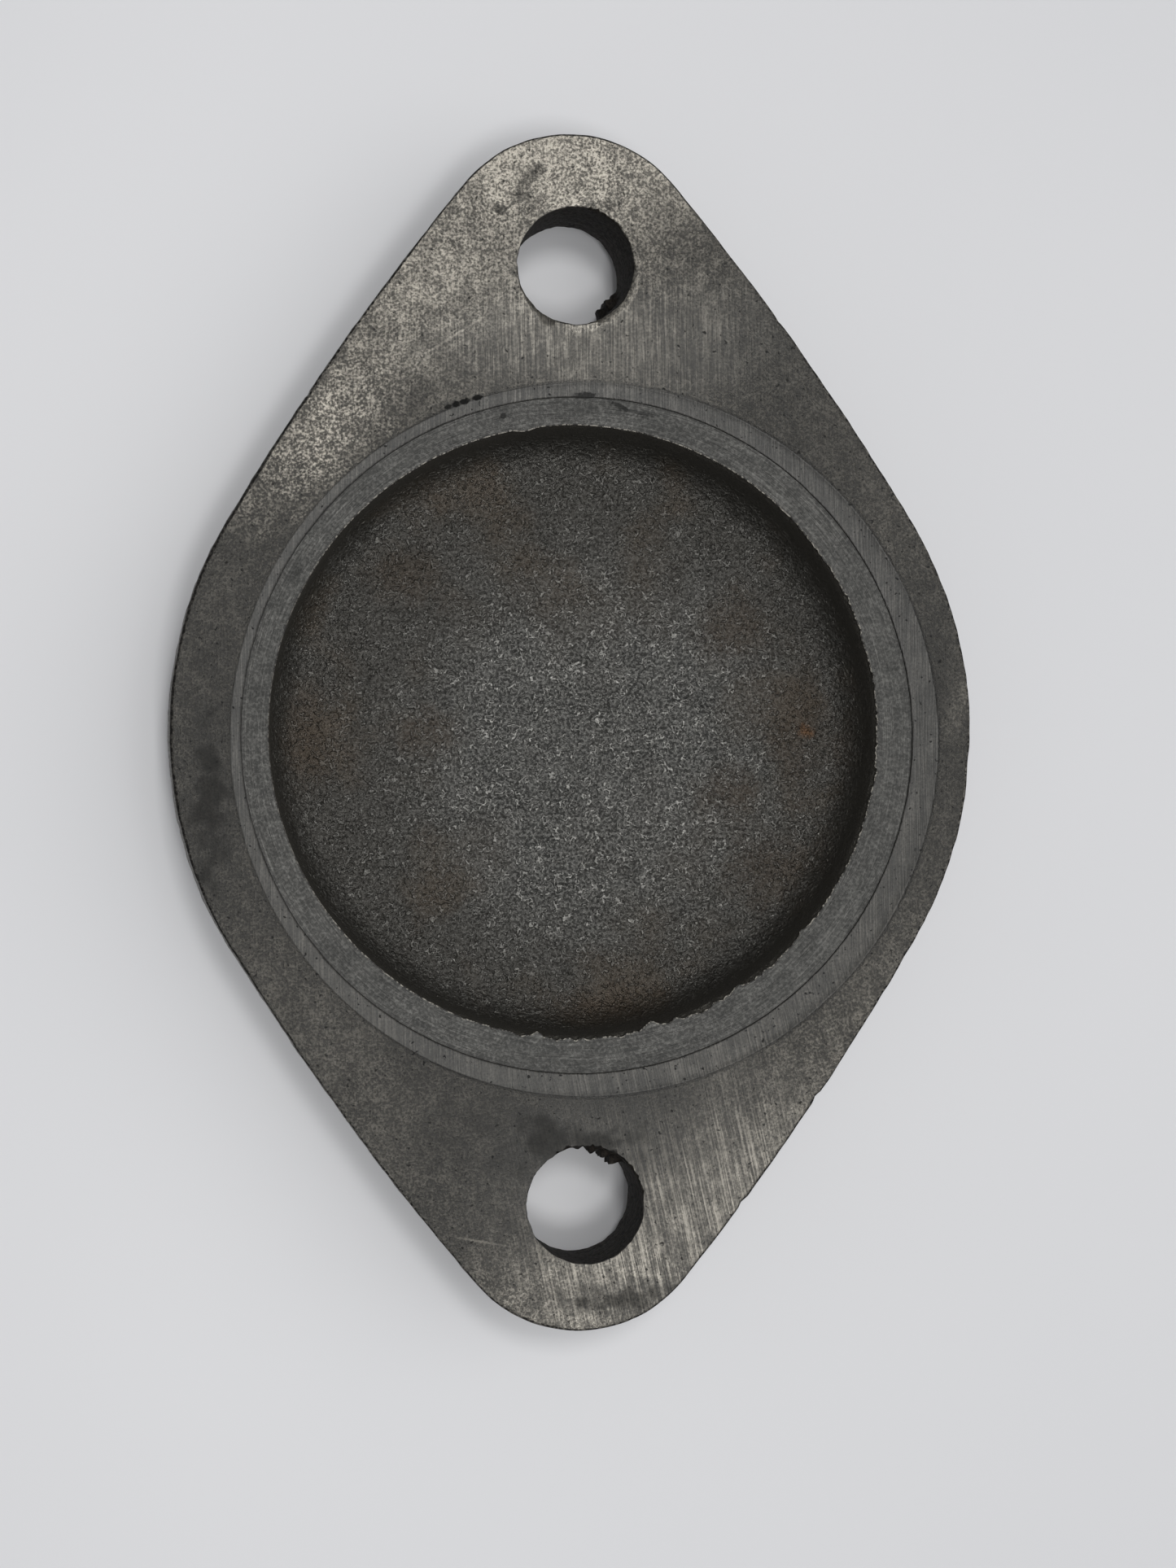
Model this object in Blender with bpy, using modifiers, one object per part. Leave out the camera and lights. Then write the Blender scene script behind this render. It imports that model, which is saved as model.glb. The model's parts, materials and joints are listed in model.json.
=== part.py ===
"""A cast-iron blanking cover: a rhombic flange with a bolt hole at each end, a round recess in its
gasket face and a round boss on its back. Metres, +Z up. The origin is the point midway between the
bolt holes, on the face of the back boss, which the cover rests on. +Y runs from hole to hole, and the
gasket face looks up."""

from math import atan2, cos, hypot, pi, radians, sin, sqrt

import bmesh
import bpy

MM = 0.001

# Driving dimensions
HOLE_SPACING = 88.9 * MM
HOLE_DIAMETER = 11.1 * MM
OVERALL_WIDTH = 76.4 * MM
OVERALL_LENGTH = 113.3 * MM
TIP_RADIUS = 12.9 * MM
SIDE_RADIUS = 38.9 * MM
FLANK_RADIUS = 263.0 * MM
FLANGE_THICKNESS = 10.5 * MM
BOSS_HEIGHT = 3.5 * MM
BOSS_DIAMETER = 66.0 * MM
RECESS_DIAMETER = 57.9 * MM
RECESS_DEPTH = 8.0 * MM
REGISTER_DIAMETER = 64.0 * MM
REGISTER_DEPTH = 0.25 * MM

# The cast shapes sit a little off the machined centre.
CAST_SHIFT_X = -0.5 * MM
CAST_SHIFT_Y = 0.3 * MM

# Edges and draft
RECESS_FLOOR_RADIUS = 3.5 * MM
RECESS_DRAFT = radians(4.0)
BOSS_EDGE_RADIUS = 1.5 * MM
BOSS_ROOT_RADIUS = 1.5 * MM
FLANGE_EDGE_ROUNDING = 0.35 * MM

# Facets
TIP_STEPS = 14
SIDE_STEPS = 14
FLANK_STEPS = 5
HOLE_STEPS = 48
ROUND_STEPS = 96
FILLET_STEPS = 5

CUT_CLEARANCE = 2.0 * MM
WELD_DISTANCE = 0.001 * MM

FLANGE_BACK = BOSS_HEIGHT
GASKET_FACE = BOSS_HEIGHT + FLANGE_THICKNESS
RECESS_FLOOR = GASKET_FACE - RECESS_DEPTH


def clear_scene():
    for obj in list(bpy.data.objects):
        bpy.data.objects.remove(obj, do_unlink=True)


def new_collection(name):
    collection = bpy.data.collections.new(name)
    bpy.context.scene.collection.children.link(collection)
    return collection


def arc(centre, radius, start, end, steps):
    """Points on an arc, both ends included."""
    angles = [start + (end - start) * i / steps for i in range(steps + 1)]
    return [(centre[0] + radius * cos(a), centre[1] + radius * sin(a)) for a in angles]


def quarter_outline():
    """The flange's outline from its side (+X) round to its tip (+Y): a side arc and a tip arc, joined
    by a slightly convex flank that is tangent to both."""
    side = (OVERALL_WIDTH / 2 - SIDE_RADIUS, 0.0)
    tip = (0.0, OVERALL_LENGTH / 2 - TIP_RADIUS)
    span = hypot(tip[0] - side[0], tip[1] - side[1])
    along = ((tip[0] - side[0]) / span, (tip[1] - side[1]) / span)
    side_reach = FLANK_RADIUS - SIDE_RADIUS
    tip_reach = FLANK_RADIUS - TIP_RADIUS
    foot = (side_reach**2 - tip_reach**2 + span**2) / (2 * span)
    back = sqrt(side_reach**2 - foot**2)
    flank = (
        side[0] + along[0] * foot - along[1] * back,
        side[1] + along[1] * foot + along[0] * back,
    )
    side_end = atan2(side[1] - flank[1], side[0] - flank[0])
    tip_start = atan2(tip[1] - flank[1], tip[0] - flank[0])
    points = arc(side, SIDE_RADIUS, 0.0, side_end, SIDE_STEPS)
    points += arc(flank, FLANK_RADIUS, side_end, tip_start, FLANK_STEPS)[1:]
    points += arc(tip, TIP_RADIUS, tip_start, pi / 2, TIP_STEPS)[1:]
    return points


def full_outline():
    quarter = quarter_outline()
    left = [(-x, y) for x, y in reversed(quarter[:-1])]
    upper = quarter + left
    lower = [(-x, -y) for x, y in upper[1:-1]]
    return upper + lower


def mesh_object(curve_object, name, collection):
    """Turns a filled curve into a closed mesh object and removes the curve."""
    bpy.context.view_layer.update()
    evaluated = curve_object.evaluated_get(bpy.context.evaluated_depsgraph_get())
    mesh = bpy.data.meshes.new_from_object(evaluated)
    mesh.name = name
    work = bmesh.new()
    work.from_mesh(mesh)
    bmesh.ops.remove_doubles(work, verts=work.verts, dist=WELD_DISTANCE)
    bmesh.ops.recalc_face_normals(work, faces=work.faces)
    work.to_mesh(mesh)
    work.free()
    made = bpy.data.objects.new(name, mesh)
    made.matrix_world = curve_object.matrix_world.copy()
    collection.objects.link(made)
    bpy.data.objects.remove(curve_object, do_unlink=True)
    return made


def flange_plate(collection):
    curve = bpy.data.curves.new("flange_outline", "CURVE")
    curve.dimensions = "2D"
    curve.fill_mode = "BOTH"
    curve.extrude = FLANGE_THICKNESS / 2
    points = full_outline()
    spline = curve.splines.new("POLY")
    spline.points.add(len(points) - 1)
    for point, (x, y) in zip(spline.points, points):
        point.co = (x, y, 0.0, 1.0)
    spline.use_cyclic_u = True
    outline = bpy.data.objects.new("flange_outline", curve)
    outline.location = (CAST_SHIFT_X, CAST_SHIFT_Y, (FLANGE_BACK + GASKET_FACE) / 2)
    collection.objects.link(outline)
    plate = mesh_object(outline, "cover_casting", collection)
    rounding = plate.modifiers.new("edge_rounding", "BEVEL")
    rounding.width = FLANGE_EDGE_ROUNDING
    rounding.segments = 2
    rounding.limit_method = "ANGLE"
    rounding.angle_limit = radians(60)
    return plate


def turned_solid(name, profile, location, collection):
    """A closed solid turned about Z from a profile of (radius, height) points, top to bottom, whose
    first and last points lie on the axis."""
    mesh = bpy.data.meshes.new(name)
    edges = [(i, i + 1) for i in range(len(profile) - 1)]
    mesh.from_pydata([(r, 0.0, z) for r, z in profile], edges, [])
    solid = bpy.data.objects.new(name, mesh)
    solid.location = location
    collection.objects.link(solid)
    screw = solid.modifiers.new("turn", "SCREW")
    screw.axis = "Z"
    screw.steps = ROUND_STEPS
    screw.render_steps = ROUND_STEPS
    screw.use_merge_vertices = True
    screw.merge_threshold = WELD_DISTANCE
    return solid


def boss_profile():
    """The back boss, rooted inside the flange, with a fillet where it meets the flange's back."""
    radius = BOSS_DIAMETER / 2
    top = FLANGE_BACK + REGISTER_DEPTH
    profile = [(0.0, top), (radius + BOSS_ROOT_RADIUS, top)]
    root_centre = (radius + BOSS_ROOT_RADIUS, FLANGE_BACK - BOSS_ROOT_RADIUS)
    profile += arc(root_centre, BOSS_ROOT_RADIUS, pi / 2, pi, FILLET_STEPS)
    edge_centre = (radius - BOSS_EDGE_RADIUS, BOSS_EDGE_RADIUS)
    profile += arc(edge_centre, BOSS_EDGE_RADIUS, 0.0, -pi / 2, FILLET_STEPS)
    profile.append((0.0, 0.0))
    return profile


def recess_profile():
    """The cutter of the recess: a drafted wall that rounds into a flat floor."""
    mouth = RECESS_DIAMETER / 2
    above = GASKET_FACE + CUT_CLEARANCE
    lean = sin(RECESS_DRAFT) / cos(RECESS_DRAFT)
    depth_to_centre = RECESS_DEPTH - RECESS_FLOOR_RADIUS
    wall_at_centre = mouth - lean * depth_to_centre
    centre_x = wall_at_centre - RECESS_FLOOR_RADIUS / cos(RECESS_DRAFT)
    centre = (centre_x, RECESS_FLOOR + RECESS_FLOOR_RADIUS)
    profile = [(0.0, above), (mouth + lean * CUT_CLEARANCE, above)]
    profile += arc(centre, RECESS_FLOOR_RADIUS, -RECESS_DRAFT, -pi / 2, FILLET_STEPS)
    profile.append((0.0, RECESS_FLOOR))
    return profile


def register_profile():
    """The cutter of the shallow register, turned on the machined centre."""
    radius = REGISTER_DIAMETER / 2
    above = GASKET_FACE + CUT_CLEARANCE
    below = GASKET_FACE - REGISTER_DEPTH
    return [(0.0, above), (radius, above), (radius, below), (0.0, below)]


def bolt_hole_cutter(name, side, collection):
    bpy.ops.mesh.primitive_cylinder_add(
        vertices=HOLE_STEPS,
        radius=HOLE_DIAMETER / 2,
        depth=FLANGE_THICKNESS + 2 * CUT_CLEARANCE,
        location=(0.0, side * HOLE_SPACING / 2, (FLANGE_BACK + GASKET_FACE) / 2),
    )
    cutter = bpy.context.object
    cutter.name = name
    for owner in list(cutter.users_collection):
        owner.objects.unlink(cutter)
    collection.objects.link(cutter)
    return cutter


def combine(target, other, operation):
    boolean = target.modifiers.new(f"{operation.lower()}_{other.name}", "BOOLEAN")
    boolean.operation = operation
    boolean.solver = "EXACT"
    boolean.object = other


def hide_as_cutter(obj):
    obj.hide_render = True
    obj.display_type = "WIRE"


def cast_iron():
    material = bpy.data.materials.new("cast_iron")
    material.use_nodes = True
    shader = material.node_tree.nodes["Principled BSDF"]
    shader.inputs["Base Color"].default_value = (0.12, 0.117, 0.107, 1.0)
    shader.inputs["Roughness"].default_value = 0.55
    shader.inputs["Metallic"].default_value = 0.8
    return material


def build():
    clear_scene()
    parts = new_collection("flanged_blanking_cover")
    cutters = new_collection("cutters")
    cast_centre = (CAST_SHIFT_X, CAST_SHIFT_Y, 0.0)
    cover = flange_plate(parts)
    boss = turned_solid("back_boss", boss_profile(), cast_centre, cutters)
    recess = turned_solid("recess", recess_profile(), cast_centre, cutters)
    register = turned_solid("register", register_profile(), (0.0, 0.0, 0.0), cutters)
    holes = [
        bolt_hole_cutter("bolt_hole_far", 1, cutters),
        bolt_hole_cutter("bolt_hole_near", -1, cutters),
    ]
    combine(cover, boss, "UNION")
    for cutter in [recess, register] + holes:
        combine(cover, cutter, "DIFFERENCE")
    for helper in [boss, recess, register] + holes:
        hide_as_cutter(helper)
    cover.data.materials.append(cast_iron())


build()
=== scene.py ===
"""The looks of the cast-iron blanking cover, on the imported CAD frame. One detailed casting stands for the
CAD solid: its ground gasket face, turned register, rough cast recess, sides and back, and its two
roughly cored bolt holes. Lengths named here are in millimetres, and angles in degrees from +X towards
+Y, unless a comment says otherwise."""

import json
from math import cos, hypot, pi, radians, sin, sqrt, tan

import bpy
import numpy as np
from mathutils import Matrix, Vector, noise


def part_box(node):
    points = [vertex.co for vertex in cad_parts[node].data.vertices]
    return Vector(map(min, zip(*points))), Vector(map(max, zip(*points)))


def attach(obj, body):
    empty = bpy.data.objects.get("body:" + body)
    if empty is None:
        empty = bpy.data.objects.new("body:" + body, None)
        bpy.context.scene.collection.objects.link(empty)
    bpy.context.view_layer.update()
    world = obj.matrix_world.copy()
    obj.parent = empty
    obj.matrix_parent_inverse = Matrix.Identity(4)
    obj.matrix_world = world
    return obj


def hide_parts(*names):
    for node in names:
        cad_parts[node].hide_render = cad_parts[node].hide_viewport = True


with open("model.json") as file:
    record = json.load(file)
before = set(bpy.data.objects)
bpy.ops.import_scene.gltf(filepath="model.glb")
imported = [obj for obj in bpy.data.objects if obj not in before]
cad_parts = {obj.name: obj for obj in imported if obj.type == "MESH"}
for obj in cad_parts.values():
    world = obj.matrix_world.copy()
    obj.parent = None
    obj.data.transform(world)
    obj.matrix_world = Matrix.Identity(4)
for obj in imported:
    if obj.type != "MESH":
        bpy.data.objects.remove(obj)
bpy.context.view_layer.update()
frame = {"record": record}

MM = 0.001

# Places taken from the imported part
LOW, HIGH = [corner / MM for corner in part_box("cover_casting")]
MOUNTS = {mount["name"]: Vector(mount["pos_m"]) / MM for mount in frame["record"]["mounts"]}
OPENINGS = {
    opening["name"]: (Vector(opening["box_m"][0]) + Vector(opening["box_m"][1])) / (2 * MM)
    for opening in frame["record"]["physics"]["openings"]
}
FACE = MOUNTS["gasket_face"].z
FLANGE_BACK = MOUNTS["bolt_seat_far"].z
BOSS_FACE = MOUNTS["back_face"].z
CAST_CENTRE = ((LOW.x + HIGH.x) / 2, (LOW.y + HIGH.y) / 2)
WIDTH = HIGH.x - LOW.x
LENGTH = HIGH.y - LOW.y

# The shape, as in the part's source
TIP_RADIUS = 12.9
SIDE_RADIUS = 38.9
FLANK_RADIUS = 263.0
BOSS_RADIUS = 33.0
BOSS_FILLET = 1.5
RECESS_RADIUS = 28.95
RECESS_DEPTH = 8.0
RECESS_FLOOR_RADIUS = 3.5
RECESS_DRAFT = radians(4.0)
REGISTER_RADIUS = 32.0
REGISTER_DEPTH = 0.25
HOLE_RADIUS = 5.55
RECESS_FLOOR = FACE - RECESS_DEPTH
LAND = FACE - REGISTER_DEPTH
TURNED_CENTRE = (0.0, 0.0)

# What only shows close up
RECESS_CENTRE = (-0.45, 0.36)
RING_CENTRE = (0.75, -0.4)
RING_RADIUS = 33.8
RING_DROP = 0.06
EDGE_ROUNDING = 0.2
OUTLINE_INSET = 0.05
REGISTER_INSET = 0.04
BURR_DEPTH = 0.7
BOSS_SKIN = 0.07
RING_SHOULDER = (0.22, 0.36)
GROOVE_WIDTH = 0.18
EDGE_MARGIN = 0.16
# The steep step round the register: how far out, how far below the ring
REGISTER_STEP = ((0.03, 0.05), (0.09, 0.01), (0.25, 0.0))

# The surfaces, each with its own material
RECESS_ZONE, LAND_ZONE, FLANGE_ZONE, EDGE_ZONE, SIDE_ZONE, BACK_ZONE, HOLE_ZONE = range(7)

# Fineness of the mesh
SIDES = 720
HOLE_SIDES = 144
OUTLINE_STEPS = 200
SHARP_ANGLE = 38

# Waviness round a circle: height, feature size, seed
MEAN_RADIUS = 50.0
OUTLINE_WAVES = ((0.07, 7.0, 3.0), (0.05, 1.6, 8.0))
ROUNDING_WAVES = ((0.5, 3.0, 1.0),)
RING_WAVES = ((0.12, 4.0, 5.0),)
REGISTER_WAVES = ((0.03, 2.0, 9.0),)
WALL_WAVES = ((0.12, 6.0, 2.0),)
RIM_WAVES = ((0.1, 3.5, 6.0),)
RIM_TEETH = ((0.32, 0.6, 4.0),)

# Features round a circle: angle, half width in degrees, size
RIM_TABS = (
    (262, 1.8, 0.45),
    (284, 2.6, 0.6),
    (289, 1.4, 0.3),
    (302, 2.0, 0.4),
    (99, 3.0, 0.25),
    (318, 1.5, 0.3),
)
RIM_BITES = (
    (266, 2.0, 0.2),
    (278, 1.4, 0.3),
    (294, 2.6, 0.25),
    (310, 2.0, 0.2),
    (20, 2.0, 0.15),
    (-8, 1.2, 0.15),
)
RIM_ROUGHER = ((10, 60, 1.0), (290, 70, 1.2))
RING_GROOVE = ((66, 62, 1.6), (295, 70, 1.6))
RING_GROOVE_DEPTH = 0.04
OUTLINE_NICKS = ((-56.9, 0.9, 0.2), (-70.9, 0.8, 0.2), (-5.5, 4.0, 0.12), (63, 0.8, 0.1), (128, 0.7, 0.15))
WIDER_ROUNDING = ((158, 70, 0.12),)
FAR_HOLE_BEVEL = ((-38, 50, 0.6), (187, 3, 0.2), (-7, 3, 0.15), (230, 50, 0.25))
NEAR_HOLE_BEVEL = ((45, 60, 0.1),)
FAR_HOLE_TEETH = ((55, 60, 0.25),)
NEAR_HOLE_TEETH = ((90, 120, 0.2),)

# Lumps of flash in the bolt holes: angle, half width, lowest and highest height, how far they reach in
FAR_HOLE_LUMPS = ((-32, 10, 3.4, 7.0, 1.1), (-43, 9, 3.4, 6.0, 0.7), (-20, 8, 3.4, 5.5, 0.4))
NEAR_HOLE_LUMPS = (
    (52, 9, 7.5, 11.8, 1.0),
    (66, 8, 8.0, 12.6, 0.85),
    (80, 10, 10.0, 12.9, 0.7),
    (95, 7, 11.0, 13.2, 0.3),
)
# Rough bores: name, opening, radius at the foot, lumps, bevel, teeth, seed
HOLES = (
    ("far_bore", "bolt_hole_far", 5.3, FAR_HOLE_LUMPS, FAR_HOLE_BEVEL, FAR_HOLE_TEETH, 1.0),
    ("near_bore", "bolt_hole_near", 5.5, NEAR_HOLE_LUMPS, NEAR_HOLE_BEVEL, NEAR_HOLE_TEETH, 7.0),
)
HOLE_OVERSHOOT = 0.8
LUMP_RISE, LUMP_FALL = 0.6, 0.5
MOUTH_BEVEL, MOUTH_BEVEL_HEIGHT = 0.06, 0.15
MOUTH_TEETH_HEIGHT = 0.5
MOUTH_ZONE_HEIGHT = 0.1

# Pits in the machined faces: x, y, half length, half width, turn, depth
PITS = (
    (-12.3, 31.0, 0.35, 0.2, 15, 0.12),
    (-11.5, 31.3, 0.4, 0.25, 20, 0.18),
    (-10.7, 31.55, 0.45, 0.28, 15, 0.2),
    (-9.5, 31.9, 0.45, 0.25, 10, 0.18),
    (0.8, 32.15, 1.1, 0.3, 4, 0.09),
    (4.1, 31.15, 0.9, 0.26, -25, 0.1),
    (6.2, 30.5, 1.2, 0.2, -10, 0.08),
    (-7.0, 30.2, 0.3, 0.25, 0, 0.1),
    (-26.7, 15.7, 0.8, 0.5, 60, 0.05),
    (-29.6, 16.2, 0.5, 0.22, 60, 0.06),
    (-29.0, 12.6, 1.9, 0.16, 58, 0.05),
    (22.0, -23.4, 0.3, 0.25, 0, 0.06),
)
PIT_EDGE = 1.2
BLACKEST_PIT_DEPTH = 0.13

# Patches of the faces: x, y, half length, half width, turn, softness, raggedness and, last, strength
SMOOTH_TOP = (3.0, 37.5, 15.0, 5.5, 0, 0.6, 0.2)
SMOOTH_FOOT = (8.0, -45.0, 15.0, 13.0, 0, 0.6, 0.2)
BRIGHT_FLANK = (-24.0, 28.5, 7.0, 3.0, 50, 0.9, 0.5)
# Worn patches, partly wear and partly a painted highlight of the lamps' reflection, brightest at the far tip
WORN_AND_HIGHLIGHT_PATCHES = (
    (36.0, 1.8, 3.0, 1.0, 60, 0.9, 0.6, 0.28),
    (0.0, 54.5, 10.0, 4.5, 0, 0.9, 0.4, 1.25),
    (-20.0, 36.0, 15.0, 4.5, 53, 0.9, 0.4, 0.45),
    (-22.0, -33.0, 15.0, 4.5, -58, 0.9, 0.4, 0.12),
    (34.0, 15.0, 12.0, 4.0, 112, 0.9, 0.5, 0.08),
    (-1.0, -53.0, 9.0, 3.5, 0, 0.9, 0.4, 0.3),
)
# Stains, and painted shade: the patches at the left edge, at the right edge and the two below the ring are
# painted shade that darkens the face there; the rest are stains
STAINS_AND_SHADE = (
    (-4.3, 52.6, 1.6, 0.9, 60, 0.8, 0.9, 1.0),
    (-7.3, 49.6, 0.7, 0.5, 0, 0.7, 0.7, 1.0),
    (4.0, -53.3, 6.0, 1.3, 0, 0.9, 0.7, 1.0),
    (-24.5, 35.0, 3.0, 1.2, 50, 0.9, 0.7, 1.0),
    (-35.0, -6.0, 9.0, 2.0, 90, 0.9, 0.7, 1.0),
    (-2.0, -38.5, 9.0, 3.0, 0, 0.9, 0.7, 1.0),
    (4.0, -34.8, 9.0, 1.6, 6, 0.9, 0.3, 0.7),
    (34.2, 5.0, 9.0, 2.2, 97, 0.9, 0.25, 0.75),
)
SCRATCHES = (
    (-10.1, -47.6, 2.3, 0.11, -11, 0.5, 0.4, 0.2),
    (-11.7, 37.7, 3.6, 0.1, 32, 0.5, 0.3, 0.2),
)
# Rusty patches on the recess's floor: x, y, half length, half width
BROWN_PATCHES = (
    (-15.8, 15.7, 3.0, 2.2),
    (-25.5, -0.2, 2.0, 4.0),
    (-13.8, 0.5, 2.6, 2.0),
    (16.1, 10.4, 3.2, 3.0),
    (22.0, 0.5, 2.6, 4.0),
    (15.5, -5.5, 2.6, 2.0),
    (19.5, -13.0, 3.5, 3.0),
    (3.0, -26.0, 5.0, 1.5),
)
RUST_SPOT = (23.2, 0.3, 0.7, 0.45, -30, 0.8, 0.6)
# The centre that the recess floor's painted shade darkens away from, set off to the right and below so the
# left and top go darker
WALL_SHADE_CENTRE = (3.0, -2.0)

# Slow and quick unevenness of each surface
FLOOR_ROUGH = (0.05, 0.025)
FILLET_ROUGH = (0.06, 0.035)
WALL_ROUGH = (0.05, 0.03)
BURR_ROUGH = (0.02, 0.02)
LAND_ROUGH = (0.006, 0.006)
RING_ROUGH = (0.004, 0.0)
FLANGE_ROUGH = (0.006, 0.002)
EDGE_ROUGH = (0.01, 0.02)
SIDE_ROUGH = (0.09, 0.06)
BACK_ROUGH = (0.05, 0.03)
BOSS_EDGE_ROUGH = (0.04, 0.02)
BOSS_ROUGH = (0.05, 0.02)
SMOOTH = (0.0, 0.0)
# The burr on the recess's rim: how far out from the rim, how far above the land, surface, unevenness
RIM_PROFILE = (
    (0.1, -0.32, RECESS_ZONE, BURR_ROUGH),
    (0.0, -0.14, RECESS_ZONE, SMOOTH),
    (0.01, 0.015, EDGE_ZONE, SMOOTH),
    (0.12, 0.015, EDGE_ZONE, SMOOTH),
    (0.28, 0.0, LAND_ZONE, SMOOTH),
)
# Feature sizes of the unevenness, and shifts that keep the layers of noise apart
SLOW_SIZE, MIDDLE_SIZE, QUICK_SIZE = 2.6, 1.3, 0.75
MIDDLE_SHIFT, QUICK_SHIFT = Vector((7.0, 2.0, 5.0)), Vector((3.0, 9.0, 1.0))
# The walls of the bolt holes: reach of the noise round the hole, feature height, depth
HOLE_GRAIN = (5.0, 1.2, 0.09)
HOLE_FINE = (12.0, 0.5, 0.05)

# Colours, linear
PIT_BLACK = (0.006, 0.006, 0.006)
GROUND_DARK, GROUND_LIGHT = (0.012, 0.0115, 0.010), (0.44, 0.407, 0.345)
RING_DARK, RING_LIGHT = (0.016, 0.016, 0.015), (0.085, 0.082, 0.075)
TURNED_DARK, TURNED_LIGHT = (0.022, 0.022, 0.020), (0.096, 0.094, 0.086)
TURNED_BLACK = (0.007, 0.007, 0.006)
BURR_DARK, BURR_LIGHT = (0.014, 0.013, 0.012), (0.17, 0.16, 0.14)
# The recess floor's light end is reached mostly through its painted glints
RECESS_DARK, RECESS_GRAIN_AND_GLINT = (0.022, 0.022, 0.020), (0.58, 0.57, 0.53)
# Painted shade on the recess floor near its walls
RECESS_PAINTED_SHADE = (0.034, 0.03, 0.024)
RECESS_BROWN = (0.085, 0.062, 0.04)
RUSTY_BROWN = (0.056, 0.040, 0.026)
RUST = (0.16, 0.08, 0.035)
RECESS_WALL = (0.08, 0.075, 0.064)
SIDE_DARK, SIDE_LIGHT = (0.04, 0.039, 0.036), (0.25, 0.24, 0.22)
BACK_DARK, BACK_LIGHT = (0.045, 0.043, 0.039), (0.26, 0.25, 0.227)
HOLE_DARK, HOLE_LIGHT = (0.004, 0.004, 0.0035), (0.045, 0.035, 0.026)
TABLE_DARK, TABLE_LIGHT = (0.76, 0.765, 0.785), (0.80, 0.80, 0.815)

# Lights: name, place, target, size, power in watts
LIGHTS = (
    ("lamp_far", (7.5, 320.0, 1500.0), (7.5, 320.0, 0.0), (200.0, 240.0), 4.0),
    ("lamp_near", (20.0, -321.0, 1500.0), (20.0, -321.0, 0.0), (200.0, 240.0), 4.0),
    ("overhead", (60.0, 0.0, 1500.0), (0.0, 0.0, 0.0), (700.0, 900.0), 2.6),
    ("soft_right", (380.0, 0.0, 520.0), (0.0, 0.0, 0.0), (450.0, 700.0), 0.8),
)
SKY_COLOUR = (0.97, 0.98, 1.0, 1.0)
SKY_STRENGTH = 0.24
FLOOR_HALF = 1600.0

# Camera: the photograph's viewpoint, almost overhead, a little to the left, 36 cm up
CAMERA_PLACE = Vector((-43.4, -6.2, 357.5))
CAMERA_TARGET = Vector((0.65, -4.63, 14.0))
CAMERA_UP = Vector((0.01015, 0.99995, 0.0))
CAMERA_LENS = 84.07
CAMERA_SENSOR = 36.0
CAMERA_CLIP = (10.0, 20000.0)

HALF_TURN = 180.0
FULL_TURN = 360.0


def angles(count):
    """Angles of equal steps round a circle, in radians."""
    return np.arange(count) * (2 * pi / count)


def smooth(share):
    """Eases from 0 to 1 as share goes from 0 to 1."""
    share = np.clip(share, 0.0, 1.0)
    return share * share * (3.0 - 2.0 * share)


def bumps(turn, features):
    """The sum of smooth bumps round the given angles."""
    total = np.zeros(len(turn))
    for centre, half_width, height in features:
        away = np.abs((np.degrees(turn) - centre + HALF_TURN) % FULL_TURN - HALF_TURN)
        total += height * smooth(1.0 - away / half_width)
    return total


def waves(turn, radius, rows):
    """The sum of smooth noises round a circle, from rows of height, feature size and seed."""
    total = np.zeros(len(turn))
    for height, feature_size, seed in rows:
        reach = radius / feature_size
        total += height * np.array([noise.noise((reach * cos(a), reach * sin(a), seed)) for a in turn])
    return total


def circle(centre, radius, turn):
    """Points round a centre, at one radius or at one for each angle."""
    return np.stack([centre[0] + radius * np.cos(turn), centre[1] + radius * np.sin(turn)], axis=1)


def quarter_outline():
    """The flange's outline from its side (+X) round to its tip (+Y) about its centre, as in the part."""
    side = (WIDTH / 2 - SIDE_RADIUS, 0.0)
    tip = (0.0, LENGTH / 2 - TIP_RADIUS)
    span = hypot(tip[0] - side[0], tip[1] - side[1])
    along = ((tip[0] - side[0]) / span, (tip[1] - side[1]) / span)
    side_reach = FLANK_RADIUS - SIDE_RADIUS
    tip_reach = FLANK_RADIUS - TIP_RADIUS
    foot = (side_reach**2 - tip_reach**2 + span**2) / (2 * span)
    back = sqrt(side_reach**2 - foot**2)
    flank = (side[0] + along[0] * foot - along[1] * back, side[1] + along[1] * foot + along[0] * back)
    side_end = np.arctan2(side[1] - flank[1], side[0] - flank[0])
    tip_start = np.arctan2(tip[1] - flank[1], tip[0] - flank[0])
    arcs = (
        (side, SIDE_RADIUS, 0.0, side_end),
        (flank, FLANK_RADIUS, side_end, tip_start),
        (tip, TIP_RADIUS, tip_start, pi / 2),
    )
    runs = [circle(c, radius, np.linspace(start, end, OUTLINE_STEPS)) for c, radius, start, end in arcs]
    points = np.concatenate(runs)
    return np.arctan2(points[:, 1], points[:, 0]), np.hypot(points[:, 0], points[:, 1])


def outline_radius(turn):
    """The distance of the flange's edge from the cast centre, with its waviness and nicks."""
    quarter_turn, quarter_radius = quarter_outline()
    folded = np.arctan2(np.abs(np.sin(turn)), np.abs(np.cos(turn)))
    radius = np.interp(folded, quarter_turn, quarter_radius)
    return radius + waves(turn, MEAN_RADIUS, OUTLINE_WAVES) - OUTLINE_INSET - bumps(turn, OUTLINE_NICKS)


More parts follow.
